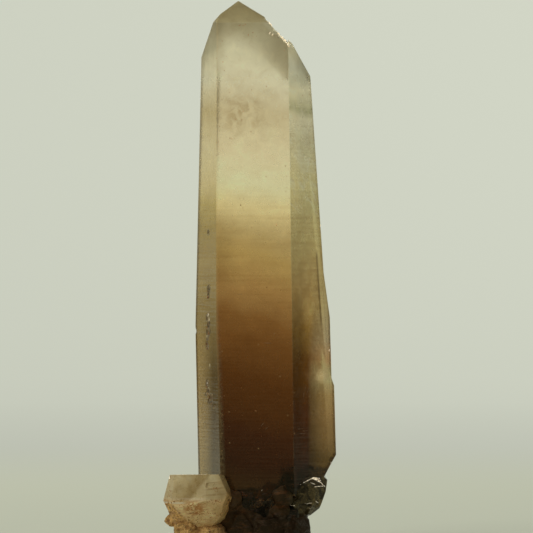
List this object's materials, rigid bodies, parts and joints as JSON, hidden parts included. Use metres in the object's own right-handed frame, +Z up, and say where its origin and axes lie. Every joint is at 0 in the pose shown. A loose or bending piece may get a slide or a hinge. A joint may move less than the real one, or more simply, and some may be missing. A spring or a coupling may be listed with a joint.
{
  "type": "smoky quartz crystal",
  "caption": "Tall six-sided smoky quartz point with a three-faced tip, grown together with a small milky crystal and a dark broken root, standing on a flat cut.",
  "frame": {"origin": "middle of the bounding box on the flat cut that the crystal stands on", "axes": "+Z runs up the main crystal to its tip, -Y faces the viewer and is the broad front face, +X is to the viewer's right"},
  "size_m": [0.0308, 0.023, 0.0977],
  "materials": {
    "smoky_quartz": "clear brown quartz, paler and greenish towards the tip, satin faces with fine cross lines",
    "milky_quartz": "milky beige quartz with fine rust pits",
    "root_quartz": "dark broken quartz, glassy on the breaks, with a rusty crust"
  },
  "bodies": {
    "root": {"quartz_crystal": "smoky_quartz"}
  },
  "joints": []
}
